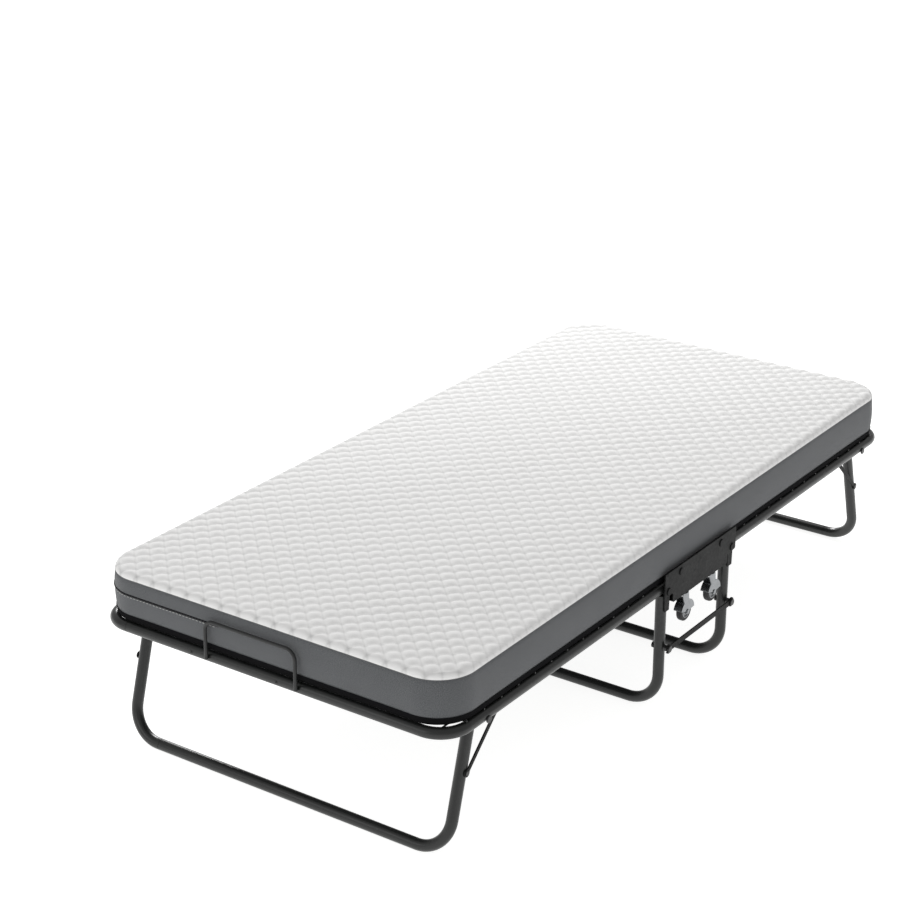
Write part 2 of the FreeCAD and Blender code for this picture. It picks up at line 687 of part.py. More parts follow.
def make_casters():
    stems = []
    head_low = plate_bottom + flange_thickness
    for end, x in (("head", caster_place), ("foot", -caster_place)):
        for hand, y in (("left", caster_y), ("right", -caster_y)):
            name = "caster_" + end + "_" + hand
            tyre, hub = make_wheel(x + caster_trail, y)
            save(name + "_tyre", [tyre])
            save(name + "_hub", [hub])
            save(name + "_fork", [make_fork(x, y)])
            save(name + "_axle", [make_axle(x, y)])
            low = plate_bottom - fork_top_gap - fork_top_thickness
            stem = rod(vec(x, y, low), vec(x, y, head_low), caster_stem_radius)
            head_top = head_low + caster_stem_head_height
            head = rod(vec(x, y, head_low), vec(x, y, head_top), caster_stem_head_radius)
            stems.append(stem.fuse(head))
    save("caster_stems", stems)


make_deck_frame()
make_crossbars()
make_hinge_lugs()
make_mesh()
make_handle()
make_mattress_half()
make_fold_section()
make_end_leg()
make_end_leg_bolts()
make_stays()
make_stay_fittings()
make_side_plates()
make_base_bars()
make_pivots()
make_centre_legs()
make_lock_bolts()
make_lock_bars()
make_casters()
print("deck pivot", deck_pivot_x, deck_pivot_z, "leg pivot", leg_pivot_x, leg_pivot_z)
print("end leg pivot", end_leg_x, end_leg_z, "end leg length", round(end_leg_length, 1))
print("stay rivet", round(stay_foot_x, 3), round(stay_foot_z, 3), "stay swing", round(stay_swing, 4))
print("end leg fold", end_leg_fold, "lock bolt", leg_pivot_x, lock_bolt_z)
print("caster", caster_place, caster_y, wheel_z)
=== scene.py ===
import bpy
import bmesh
import math
import numpy as np
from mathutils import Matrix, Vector, kdtree


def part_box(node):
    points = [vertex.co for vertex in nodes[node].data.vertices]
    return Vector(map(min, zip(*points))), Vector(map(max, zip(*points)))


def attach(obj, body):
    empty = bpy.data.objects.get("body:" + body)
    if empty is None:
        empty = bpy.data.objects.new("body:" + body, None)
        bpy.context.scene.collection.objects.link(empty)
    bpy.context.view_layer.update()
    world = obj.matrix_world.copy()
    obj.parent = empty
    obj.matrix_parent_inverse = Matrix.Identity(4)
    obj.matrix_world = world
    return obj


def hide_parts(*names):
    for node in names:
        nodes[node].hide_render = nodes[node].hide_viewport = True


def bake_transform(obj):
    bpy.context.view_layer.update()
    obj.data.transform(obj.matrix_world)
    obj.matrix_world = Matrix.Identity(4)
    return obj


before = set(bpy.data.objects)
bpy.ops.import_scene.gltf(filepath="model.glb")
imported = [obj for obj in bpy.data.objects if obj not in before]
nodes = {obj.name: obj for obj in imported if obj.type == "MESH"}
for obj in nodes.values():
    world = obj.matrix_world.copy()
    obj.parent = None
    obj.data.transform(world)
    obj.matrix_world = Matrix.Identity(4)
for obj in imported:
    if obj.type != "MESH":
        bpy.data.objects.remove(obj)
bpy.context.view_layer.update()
scene = bpy.context.scene
print("frame loaded:", len(nodes), "nodes")


# Small helpers for the shader trees.
def newGroup(name, inputs, outputs):
    tree = bpy.data.node_groups.new(name, "ShaderNodeTree")
    for label, kind, value in inputs:
        sock = tree.interface.new_socket(name=label, in_out="INPUT", socket_type=kind)
        if value is not None:
            sock.default_value = value
    for label, kind in outputs:
        tree.interface.new_socket(name=label, in_out="OUTPUT", socket_type=kind)
    start = tree.nodes.new("NodeGroupInput")
    end = tree.nodes.new("NodeGroupOutput")
    return tree, start, end


def addNode(tree, kind, **settings):
    node = tree.nodes.new(kind)
    for key, value in settings.items():
        setattr(node, key, value)
    return node


def mathNode(tree, operation, a, b=None):
    node = addNode(tree, "ShaderNodeMath", operation=operation)
    for slot, value in ((0, a), (1, b)):
        if value is None:
            continue
        if isinstance(value, (int, float)):
            node.inputs[slot].default_value = value
        else:
            tree.links.new(value, node.inputs[slot])
    return node.outputs[0]


def noiseNode(tree, vector, scale, detail=3.0, rough=0.5):
    node = addNode(tree, "ShaderNodeTexNoise")
    node.inputs["Scale"].default_value = scale
    node.inputs["Detail"].default_value = detail
    node.inputs["Roughness"].default_value = rough
    tree.links.new(vector, node.inputs["Vector"])
    return node.outputs["Fac"]


def mapRange(tree, value, fromLow, fromHigh, toLow, toHigh):
    node = addNode(tree, "ShaderNodeMapRange")
    tree.links.new(value, node.inputs["Value"])
    node.inputs["From Min"].default_value = fromLow
    node.inputs["From Max"].default_value = fromHigh
    node.inputs["To Min"].default_value = toLow
    node.inputs["To Max"].default_value = toHigh
    return node.outputs["Result"]


def mixColour(tree, fac, a, b):
    node = addNode(tree, "ShaderNodeMix", data_type="RGBA")
    for slot, value in ((0, fac), (6, a), (7, b)):
        if isinstance(value, (int, float, tuple)):
            node.inputs[slot].default_value = value
        else:
            tree.links.new(value, node.inputs[slot])
    return node.outputs[2]


# Sprayed powder: fine orange peel, patchy gloss and paint thinned on sharp edges.
powder = {"patchScale": 9.0, "patchRange": (0.3, 0.7), "glossSpread": (-0.05, 0.07), "edgeRange": (0.53, 0.62),
          "chipScale": 140.0, "chipRange": (0.45, 0.65)}


def powderGroup():
    tree, start, end = newGroup("powderCoat", [
        ("Vector", "NodeSocketVector", None), ("Peel Scale", "NodeSocketFloat", 900.0),
        ("Gloss", "NodeSocketFloat", 0.4), ("Wear", "NodeSocketFloat", 0.3)],
        [("Height", "NodeSocketFloat"), ("Roughness", "NodeSocketFloat"), ("Edge", "NodeSocketFloat"),
         ("Patch", "NodeSocketFloat")])
    peel = addNode(tree, "ShaderNodeTexNoise")
    tree.links.new(start.outputs["Vector"], peel.inputs["Vector"])
    tree.links.new(start.outputs["Peel Scale"], peel.inputs["Scale"])
    peel.inputs["Detail"].default_value = 2.0
    tree.links.new(peel.outputs["Fac"], end.inputs["Height"])
    patch = noiseNode(tree, start.outputs["Vector"], powder["patchScale"], 4.0)
    spread = mapRange(tree, patch, *powder["patchRange"], *powder["glossSpread"])
    tree.links.new(mathNode(tree, "ADD", start.outputs["Gloss"], spread), end.inputs["Roughness"])
    geometry = addNode(tree, "ShaderNodeNewGeometry")
    sharp = mapRange(tree, geometry.outputs["Pointiness"], *powder["edgeRange"], 0.0, 1.0)
    grit = noiseNode(tree, start.outputs["Vector"], powder["chipScale"], 4.0)
    chips = mapRange(tree, grit, *powder["chipRange"], 0.0, 1.0)
    edge = mathNode(tree, "MULTIPLY", mathNode(tree, "MULTIPLY", sharp, chips), start.outputs["Wear"])
    tree.links.new(edge, end.inputs["Edge"])
    tree.links.new(patch, end.inputs["Patch"])
    return tree


# Plain woven or knitted cloth: two crossing thread families, with slubs and fluff.
weave = {"wobbleScale": 60.0, "fleckStretch": 5.0, "longFleck": 330.0, "roundFleck": 520.0,
         "fleckRange": (0.38, 0.62), "cloudScale": 14.0}


def clothGroup():
    tree, start, end = newGroup("clothWeave", [
        ("Vector", "NodeSocketVector", None), ("Threads", "NodeSocketFloat", 700.0),
        ("Slub", "NodeSocketFloat", 0.4)],
        [("Height", "NodeSocketFloat"), ("Fleck", "NodeSocketFloat"), ("Cloud", "NodeSocketFloat")])
    split = addNode(tree, "ShaderNodeSeparateXYZ")
    tree.links.new(start.outputs["Vector"], split.inputs[0])
    wobble = noiseNode(tree, start.outputs["Vector"], weave["wobbleScale"], 2.0)
    shift = mathNode(tree, "MULTIPLY", wobble, start.outputs["Slub"])
    families = []
    for direction in ("X", "Y"):
        counted = mathNode(tree, "MULTIPLY", split.outputs[direction], start.outputs["Threads"])
        thread = mathNode(tree, "MULTIPLY", mathNode(tree, "ADD", counted, shift), 2.0 * math.pi)
        families.append(mathNode(tree, "SINE", thread))
    height = mathNode(tree, "MULTIPLY", families[0], families[1])
    tree.links.new(mapRange(tree, height, -1.0, 1.0, 0.0, 1.0), end.inputs["Height"])
    stretched = addNode(tree, "ShaderNodeMapping")
    stretched.inputs["Scale"].default_value = (1.0, weave["fleckStretch"], 1.0)
    tree.links.new(start.outputs["Vector"], stretched.inputs["Vector"])
    longFleck = noiseNode(tree, stretched.outputs[0], weave["longFleck"], 4.0, 0.7)
    roundFleck = noiseNode(tree, start.outputs["Vector"], weave["roundFleck"], 3.0, 0.7)
    fleck = mathNode(tree, "MULTIPLY", mathNode(tree, "ADD", longFleck, roundFleck), 0.5)
    tree.links.new(mapRange(tree, fleck, *weave["fleckRange"], 0.0, 1.0), end.inputs["Fleck"])
    tree.links.new(noiseNode(tree, start.outputs["Vector"], weave["cloudScale"], 4.0), end.inputs["Cloud"])
    return tree


# Fine handling marks: hairline scuffs and a little dust.
scuffs = {"stretch": 9.0, "scratchRange": (0.58, 0.70), "dustScale": 25.0, "dustRange": (0.45, 0.75)}


def scuffGroup():
    tree, start, end = newGroup("handlingMarks", [
        ("Vector", "NodeSocketVector", None), ("Scale", "NodeSocketFloat", 80.0)],
        [("Scratch", "NodeSocketFloat"), ("Dust", "NodeSocketFloat")])
    scaled = addNode(tree, "ShaderNodeMapping")
    scaled.inputs["Scale"].default_value = (1.0, scuffs["stretch"], 1.0)
    tree.links.new(start.outputs["Vector"], scaled.inputs["Vector"])
    lines = addNode(tree, "ShaderNodeTexNoise")
    tree.links.new(scaled.outputs[0], lines.inputs["Vector"])
    tree.links.new(start.outputs["Scale"], lines.inputs["Scale"])
    lines.inputs["Detail"].default_value = 6.0
    scratch = mapRange(tree, lines.outputs["Fac"], *scuffs["scratchRange"], 0.0, 1.0)
    tree.links.new(scratch, end.inputs["Scratch"])
    dust = noiseNode(tree, start.outputs["Vector"], scuffs["dustScale"], 6.0, 0.65)
    tree.links.new(mapRange(tree, dust, *scuffs["dustRange"], 0.0, 1.0), end.inputs["Dust"])
    return tree


powderCoat = powderGroup()
clothWeave = clothGroup()
handlingMarks = scuffGroup()


def newMaterial(name):
    material = bpy.data.materials.new(name)
    material.use_nodes = True
    tree = material.node_tree
    shader = tree.nodes["Principled BSDF"]
    return material, tree, shader


def placeGroup(tree, group, vector, **values):
    node = addNode(tree, "ShaderNodeGroup", node_tree=group)
    tree.links.new(vector, node.inputs["Vector"])
    for key, value in values.items():
        node.inputs[key].default_value = value
    return node


def bumpInto(tree, shader, height, strength, distance):
    bump = addNode(tree, "ShaderNodeBump")
    bump.inputs["Strength"].default_value = strength
    bump.inputs["Distance"].default_value = distance
    tree.links.new(height, bump.inputs["Height"])
    tree.links.new(bump.outputs["Normal"], shader.inputs["Normal"])


coating = {"marks": 70.0, "dust": (0.16, 0.16, 0.155, 1), "bare": (0.12, 0.12, 0.12, 1), "scratchRough": 0.12,
           "topRough": 0.22, "peelStrength": 0.25, "peelDepth": 0.0004}


def powderMaterial(name, look):
    material, tree, shader = newMaterial(name)
    coords = addNode(tree, "ShaderNodeTexCoord").outputs["Object"]
    coat = placeGroup(tree, powderCoat, coords, **{"Peel Scale": look["peel"], "Gloss": look["gloss"],
                                                   "Wear": look["wear"]})
    marks = placeGroup(tree, handlingMarks, coords, Scale=coating["marks"])
    tone = mixColour(tree, coat.outputs["Patch"], look["dark"], look["light"])
    dust = mathNode(tree, "MULTIPLY", marks.outputs["Dust"], look["dust"])
    dusty = mixColour(tree, dust, tone, coating["dust"])
    worn = mixColour(tree, coat.outputs["Edge"], dusty, coating["bare"])
    tree.links.new(worn, shader.inputs["Base Color"])
    scratched = mathNode(tree, "MULTIPLY", marks.outputs["Scratch"], coating["scratchRough"])
    tree.links.new(mathNode(tree, "ADD", coat.outputs["Roughness"], scratched), shader.inputs["Roughness"])
    shader.inputs["Specular IOR Level"].default_value = look["specular"]
    shader.inputs["Coat Weight"].default_value = look["coat"]
    shader.inputs["Coat Roughness"].default_value = coating["topRough"]
    bumpInto(tree, shader, coat.outputs["Height"], coating["peelStrength"], coating["peelDepth"])
    return material


tubeLook = {"peel": 850.0, "gloss": 0.33, "wear": 0.12, "dust": 0.02, "specular": 0.42, "coat": 0.15,
            "dark": (0.0085, 0.0092, 0.0090, 1), "light": (0.0125, 0.0135, 0.0130, 1)}
plateLook = {"peel": 700.0, "gloss": 0.50, "wear": 0.10, "dust": 0.02, "specular": 0.12, "coat": 0.0,
             "dark": (0.0055, 0.0058, 0.0058, 1), "light": (0.0080, 0.0084, 0.0084, 1)}
wireLook = {"peel": 1200.0, "gloss": 0.40, "wear": 0.12, "dust": 0.02, "specular": 0.42, "coat": 0.1,
            "dark": (0.0095, 0.0100, 0.0100, 1), "light": (0.0140, 0.0145, 0.0145, 1)}
boltLook = {"peel": 1500.0, "gloss": 0.30, "wear": 0.35, "dust": 0.02, "specular": 0.5, "coat": 0.1,
            "dark": (0.010, 0.010, 0.0105, 1), "light": (0.018, 0.018, 0.019, 1)}
tubeBlack = powderMaterial("tubeBlack", tubeLook)
plateBlack = powderMaterial("plateBlack", plateLook)
wireBlack = powderMaterial("wireBlack", wireLook)
boltBlack = powderMaterial("boltBlack", boltLook)


casterLook = {"bright": (0.30, 0.31, 0.32, 1), "dull": (0.20, 0.21, 0.22, 1), "marks": 120.0,
              "rough": (0.22, 0.42), "scratchStrength": 0.12, "scratchDepth": 0.0002}
tyreLook = {"clean": (0.012, 0.012, 0.013, 1), "dusty": (0.075, 0.073, 0.07, 1), "dust": 0.35, "marks": 160.0,
            "rough": (0.62, 0.80), "grain": 1500.0, "grainStrength": 0.35, "grainDepth": 0.0003}
hubLook = {"clean": (0.30, 0.31, 0.32, 1), "dusty": (0.22, 0.225, 0.23, 1), "marks": 200.0,
           "rough": (0.38, 0.55), "grain": 900.0, "grainStrength": 0.20, "grainDepth": 0.0003}


def markedMaterial(name, scale):
    # The start that the three caster materials share.
    material, tree, shader = newMaterial(name)
    coords = addNode(tree, "ShaderNodeTexCoord").outputs["Object"]
    return material, tree, shader, coords, placeGroup(tree, handlingMarks, coords, Scale=scale)


def casterMetalMaterial(look):
    material, tree, shader, coords, marks = markedMaterial("casterZinc", look["marks"])
    colour = mixColour(tree, marks.outputs["Dust"], look["bright"], look["dull"])
    tree.links.new(colour, shader.inputs["Base Color"])
    shader.inputs["Metallic"].default_value = 1.0
    rough = mapRange(tree, marks.outputs["Scratch"], 0.0, 1.0, *look["rough"])
    tree.links.new(rough, shader.inputs["Roughness"])
    bumpInto(tree, shader, marks.outputs["Scratch"], look["scratchStrength"], look["scratchDepth"])
    return material


def mouldedMaterial(name, look):
    # Moulded rubber or plastic: dust where "dust" is given, and a fine grain.
    material, tree, shader, coords, marks = markedMaterial(name, look["marks"])
    dust = marks.outputs["Dust"]
    if "dust" in look:
        dust = mathNode(tree, "MULTIPLY", dust, look["dust"])
    tree.links.new(mixColour(tree, dust, look["clean"], look["dusty"]), shader.inputs["Base Color"])
    rough = mapRange(tree, marks.outputs["Scratch"], 0.0, 1.0, *look["rough"])
    tree.links.new(rough, shader.inputs["Roughness"])
    grain = noiseNode(tree, coords, look["grain"], 2.0)
    bumpInto(tree, shader, grain, look["grainStrength"], look["grainDepth"])
    return material


casterZinc = casterMetalMaterial(casterLook)
tyreRubber = mouldedMaterial("tyreRubber", tyreLook)
hubPlastic = mouldedMaterial("hubPlastic", hubLook)

# The quilt table's widths for the darkened sewn lines and crossings set where painted shade falls; pitch, puff,
# softness and level shape the relief.
quilt = {"pitch": 0.0325, "puff": 0.0050, "groove": 0.34, "shadeSpot": 0.80,
         "softness": 0.72, "level": 0.62, "edgeShare": 0.25, "seamFlat": 0.004}
# In the knit look, the groove and stitch colours are painted shade: darker tones in the sewn grooves and at the
# stitch crossings.
knitLook = {"threads": 420.0, "slub": 0.5, "base": (0.86, 0.855, 0.845, 1), "cloud": (0.91, 0.905, 0.90, 1),
            "fleck": (0.72, 0.72, 0.71, 1), "fleckShare": 0.10, "groove": (0.79, 0.787, 0.78, 1),
            "stitch": (0.50, 0.50, 0.495, 1), "crossingShadeShare": 0.55, "rough": (0.80, 0.95), "sheen": 0.15,
            "sheenRough": 0.5, "weaveStrength": 0.35, "weaveDepth": 0.0006}


# White knit, with painted shade: the sewn lattice lines and the stitch crossings, where the stitches pull the
# cloth down, are painted darker as shade.
def knitMaterial(look):
    material, tree, shader = newMaterial("quiltedKnit")
    coords = addNode(tree, "ShaderNodeUVMap", uv_map="cloth").outputs[0]
    cloth = placeGroup(tree, clothWeave, coords, Threads=look["threads"], Slub=look["slub"])
    split = addNode(tree, "ShaderNodeSeparateXYZ")
    tree.links.new(coords, split.inputs[0])
    grooves, shadeSpots = [], []
    for operation in ("ADD", "SUBTRACT"):
        diagonal = mathNode(tree, operation, split.outputs["X"], split.outputs["Y"])
        phase = mathNode(tree, "MULTIPLY", diagonal, math.pi / (quilt["pitch"] * math.sqrt(2.0)))
        ridge = mathNode(tree, "ABSOLUTE", mathNode(tree, "SINE", phase))
        grooves.append(mapRange(tree, ridge, 0.0, quilt["groove"], 0.0, 1.0))
        shadeSpots.append(mapRange(tree, ridge, 0.0, quilt["shadeSpot"], 1.0, 0.0))
    puff = mathNode(tree, "MINIMUM", grooves[0], grooves[1])
    crossingShade = mathNode(tree, "MULTIPLY", shadeSpots[0], shadeSpots[1])
    base = mixColour(tree, cloth.outputs["Cloud"], look["base"], look["cloud"])
    fleck = mathNode(tree, "MULTIPLY", cloth.outputs["Fleck"], look["fleckShare"])
    flecked = mixColour(tree, fleck, base, look["fleck"])
    # Painted shade: the sewn grooves and the stitch crossings are mixed darker.
    grooveShaded = mixColour(tree, puff, look["groove"], flecked)
    crossingShaded = mixColour(tree, mathNode(tree, "MULTIPLY", crossingShade, look["crossingShadeShare"]), grooveShaded, look["stitch"])
    tree.links.new(crossingShaded, shader.inputs["Base Color"])
    tree.links.new(mapRange(tree, cloth.outputs["Fleck"], 0.0, 1.0, *look["rough"]), shader.inputs["Roughness"])
    shader.inputs["Sheen Weight"].default_value = look["sheen"]
    shader.inputs["Sheen Roughness"].default_value = look["sheenRough"]
    bumpInto(tree, shader, cloth.outputs["Height"], look["weaveStrength"], look["weaveDepth"])
    return material


greyCloth = {"slub": 0.6, "cloudRange": (0.35, 0.65), "cloudShare": (0.05, 0.15), "rough": (0.82, 0.97),
             "sheenRough": 0.45, "weaveStrength": 0.4, "weaveDepth": 0.0006}


def greyClothMaterial(name, look):
    material, tree, shader = newMaterial(name)
    coords = addNode(tree, "ShaderNodeUVMap", uv_map="cloth").outputs[0]
    cloth = placeGroup(tree, clothWeave, coords, Threads=look["threads"], Slub=greyCloth["slub"])
    base = mixColour(tree, cloth.outputs["Fleck"], look["dark"], look["light"])
    cloud = mapRange(tree, cloth.outputs["Cloud"], *greyCloth["cloudRange"], *greyCloth["cloudShare"])
    tree.links.new(mixColour(tree, cloud, base, look["light"]), shader.inputs["Base Color"])
    rough = mapRange(tree, cloth.outputs["Fleck"], 0.0, 1.0, *greyCloth["rough"])
    tree.links.new(rough, shader.inputs["Roughness"])
    shader.inputs["Specular IOR Level"].default_value = look["specular"]
    shader.inputs["Sheen Weight"].default_value = look["sheen"]
    shader.inputs["Sheen Roughness"].default_value = greyCloth["sheenRough"]
    bumpInto(tree, shader, cloth.outputs["Height"], greyCloth["weaveStrength"], greyCloth["weaveDepth"])
    return material


bandLook = {"threads": 620.0, "sheen": 0.25, "specular": 0.3,
            "dark": (0.036, 0.038, 0.041, 1), "light": (0.165, 0.171, 0.178, 1)}
underLook = {"threads": 480.0, "sheen": 0.2, "specular": 0.3,
             "dark": (0.070, 0.072, 0.075, 1), "light": (0.130, 0.132, 0.136, 1)}
# Near-black cloth for the zip tape and the skirt below the band, darkened as painted shade: the shadow gap
# above the rails and the shadow line under the zip's flap.
tapeShadeLook = {"threads": 900.0, "sheen": 0.0, "specular": 0.05,
            "dark": (0.0035, 0.0035, 0.0040, 1), "light": (0.0080, 0.0080, 0.0090, 1)}
threadLook = {"threads": 1600.0, "sheen": 0.1, "specular": 0.3,
              "dark": (0.42, 0.42, 0.41, 1), "light": (0.62, 0.62, 0.60, 1)}
quiltedKnit = knitMaterial(knitLook)
heatherBand = greyClothMaterial("heatherBand", bandLook)
underCloth = greyClothMaterial("underCloth", underLook)
darkTapeAndShade = greyClothMaterial("darkTapeAndShade", tapeShadeLook)
paleThread = greyClothMaterial("paleThread", threadLook)
print("materials ready")


# Finishes on the fixed parts: the first word found in a part's name decides, and the rest are tube.
finishes = [("_tyre", tyreRubber), ("_hub", hubPlastic), ("_fork", casterZinc), ("_axle", casterZinc),
            ("stems", casterZinc), ("mesh", wireBlack), ("handle", wireBlack), ("bolts", boltBlack),
            ("stay_rivets", boltBlack), ("rivets", plateBlack), ("pins", plateBlack), ("plate", plateBlack),
            ("lock_bar", plateBlack), ("stay", plateBlack), ("lugs", plateBlack)]
for name, node in nodes.items():
    chosen = tubeBlack
    for word, material in finishes:
        if word in name:
            chosen = material
            break
    node.data.materials.clear()
    node.data.materials.append(chosen)
print("fixed parts painted")


# The mattress: one sewn cover, made as a top, a band, a near-black skirt of painted shade under the band and an
# underside.
mattress = {"length": 1.900, "width": 0.905, "corner": 0.088, "top": 0.4265, "bottom": 0.3172,
            "topEdge": 0.0140, "bottomEdge": 0.013, "step": 0.0042, "edgeFade": 0.020,
            "crown": 0.0012, "crownReach": 0.30, "crownPower": 0.6, "sag": 0.0010, "sagSize": 0.45,
            "lip": 0.028, "fold": 0.0895, "hang": 0.3138}
edgeSteps = (0.0, 0.0006, 0.0015, 0.0028, 0.0047, 0.0074, 0.0108, 0.0148)


def gradedLine(half, step, edges=edgeSteps):
    # Even steps in the middle and closer ones towards both ends.
    inner = half - edges[-1]
    count = int(round(inner / step))
    middle = np.linspace(0.0, inner, count + 1)
    side = np.concatenate([middle[:-1], half - np.array(edges[::-1])])
    return np.concatenate([-side[:0:-1], side])


def roundCorners(x, y, halfX, halfY, radius):
    # Square grid pulled onto the rounded outline.
    s = np.clip((np.abs(x) - (halfX - radius)) / radius, 0, 1)
    t = np.clip((np.abs(y) - (halfY - radius)) / radius, 0, 1)
    newX = np.where(s > 0, (halfX - radius) + radius * s * np.sqrt(1 - t * t / 2), np.abs(x))
    newY = np.where(t > 0, (halfY - radius) + radius * t * np.sqrt(1 - s * s / 2), np.abs(y))
    return np.sign(x) * newX, np.sign(y) * newY


def edgeDistance(x, y, halfX, halfY, radius):
    qx = np.abs(x) - (halfX - radius)
    qy = np.abs(y) - (halfY - radius)
    outside = np.hypot(np.maximum(qx, 0), np.maximum(qy, 0)) + np.minimum(np.maximum(qx, qy), 0)
    return radius - outside


def edgeDrop(distance):
    # How far the rounded edge falls below the flat, by distance from the outline.
    r = mattress["topEdge"]
    return np.where(distance < r, r - np.sqrt(np.maximum(r * r - (r - distance) ** 2, 0)), 0.0)


def smoothNoise(x, y, size, seed, waves=9):
    # Cheap smooth relief from a few seeded waves.
    local = np.random.default_rng(seed)
    total = np.zeros_like(x)
    for _ in range(waves):
        angle = local.uniform(0, 2 * math.pi)
        wave = 2 * math.pi / (size * local.uniform(0.6, 1.6))
        total += np.sin(wave * (x * math.cos(angle) + y * math.sin(angle)) + local.uniform(0, 2 * math.pi))
    return total / waves


def quiltRelief(x, y):
    # Puffed diamonds between two crossing rows of stitching.
    k = math.pi / (quilt["pitch"] * math.sqrt(2.0))
    a = np.abs(np.sin(k * (x + y)))
    b = np.abs(np.sin(k * (x - y)))
    return (a * b) ** quilt["softness"]


def fillMesh(name, verts, faces, uv):
    mesh = bpy.data.meshes.new(name)
    mesh.from_pydata([tuple(v) for v in verts], [], faces)
    layer = mesh.uv_layers.new(name="cloth")
    loops = np.zeros(len(mesh.loops), np.int64)
    mesh.loops.foreach_get("vertex_index", loops)
    layer.data.foreach_set("uv", np.asarray(uv, np.float32)[loops].ravel())
    mesh.polygons.foreach_set("use_smooth", [True] * len(mesh.polygons))
    mesh.update()
    return mesh


def addObject(name, mesh, material):
    obj = bpy.data.objects.new(name, mesh)
    scene.collection.objects.link(obj)
    mesh.materials.append(material)
    return obj


def ringOf(rows, cols):
    # The outer points of a grid, once round.
    ring = [(i, 0) for i in range(rows)] + [(rows - 1, j) for j in range(1, cols)]
    ring += [(i, cols - 1) for i in range(rows - 2, -1, -1)] + [(0, j) for j in range(cols - 2, 0, -1)]
    return ring


halfX = mattress["length"] / 2
halfY = mattress["width"] / 2
seamZ = mattress["top"] - mattress["topEdge"]
bandLowZ = mattress["bottom"] + mattress["bottomEdge"]

# Places in "seam" and "edge" are (outward, above the seam or the band's lower edge).
band = {"seam": ((-0.0008, 0.0006), (-0.0016, -0.0010), (-0.0008, -0.0026), (0.0002, -0.0050)),
        "rows": 12, "bulge": 0.0026, "fullness": 0.8}
shadeSkirt = {"edge": ((-0.0012, 0.0012), (-0.0010, -0.0004)), "foldOut": -0.0085, "foldRadius": 0.0070,
           "foldBelow": 0.0012, "rows": 8, "under": -0.0120, "back": -0.0150, "rise": 0.0004}


def bandProfile():
    # (outward, height) from the top seam down to the near-black skirt of painted shade.
    points = [(out, seamZ + up) for out, up in band["seam"]]
    startOut, startUp = band["seam"][-1]
    for i in range(1, band["rows"] + 1):
        t = i / band["rows"]
        z = (seamZ + startUp) + (bandLowZ - seamZ - startUp) * t
        points.append((startOut + band["bulge"] * math.sin(math.pi * t) ** band["fullness"], z))
    return points


def shadeSkirtProfile():
    # Painted shade: a near-black skirt folded round the lower edge, resting on the rails, standing for the
    # shadow gap between the band and the rails.
    drop = bandLowZ - mattress["hang"]
    points = [(out, bandLowZ + up) for out, up in shadeSkirt["edge"]]
    for i in range(shadeSkirt["rows"] + 1):
        angle = math.pi / 2 * i / shadeSkirt["rows"]
        fall = shadeSkirt["foldBelow"] + (drop - shadeSkirt["foldBelow"]) * math.sin(angle)
        points.append((shadeSkirt["foldOut"] + shadeSkirt["foldRadius"] * math.cos(angle), bandLowZ - fall))
    points.append((shadeSkirt["under"], mattress["hang"] + shadeSkirt["rise"]))
    points.append((shadeSkirt["back"], mattress["bottom"] - shadeSkirt["rise"]))
    points.append((-mattress["lip"], mattress["bottom"]))
    return points


swell = {"gridX": 131, "gridY": 63, "voxel": 0.012, "pressure": 4.0, "frames": 20, "quality": 4,
         "stretch": 18, "bending": 2.0, "cap": 0.0030, "topShare": 0.45, "neighbours": 5, "soften": 0.004}


def softShell():
    # Closed foam block that the cloth run swells; only its movement is kept.
    xs = np.linspace(-halfX, halfX, swell["gridX"])
    ys = np.linspace(-halfY, halfY, swell["gridY"])
    builder = bmesh.new()
    gx, gy = np.meshgrid(xs, ys, indexing="ij")
    px, py = roundCorners(gx, gy, halfX, halfY, mattress["corner"])
    drop = edgeDrop(edgeDistance(px, py, halfX, halfY, mattress["corner"]))
    layers = []
    for level, sign in ((mattress["top"], -1), (mattress["bottom"], 1)):
        layer = [[builder.verts.new((px[i, j], py[i, j], level + sign * drop[i, j])) for j in range(len(ys))]
                 for i in range(len(xs))]
        layers.append(layer)
        for i in range(len(xs) - 1):
            for j in range(len(ys) - 1):
                corners = [layer[i][j], layer[i + 1][j], layer[i + 1][j + 1], layer[i][j + 1]]
                builder.faces.new(corners if sign < 0 else corners[::-1])
    ring = ringOf(len(xs), len(ys))
    for (a, b), (c, e) in zip(ring, ring[1:] + ring[:1]):
        builder.faces.new([layers[1][a][b], layers[1][c][e], layers[0][c][e], layers[0][a][b]])
    mesh = bpy.data.meshes.new("softShell")
    builder.to_mesh(mesh)
    builder.free()
    obj = bpy.data.objects.new("softShell", mesh)
    scene.collection.objects.link(obj)
    return obj


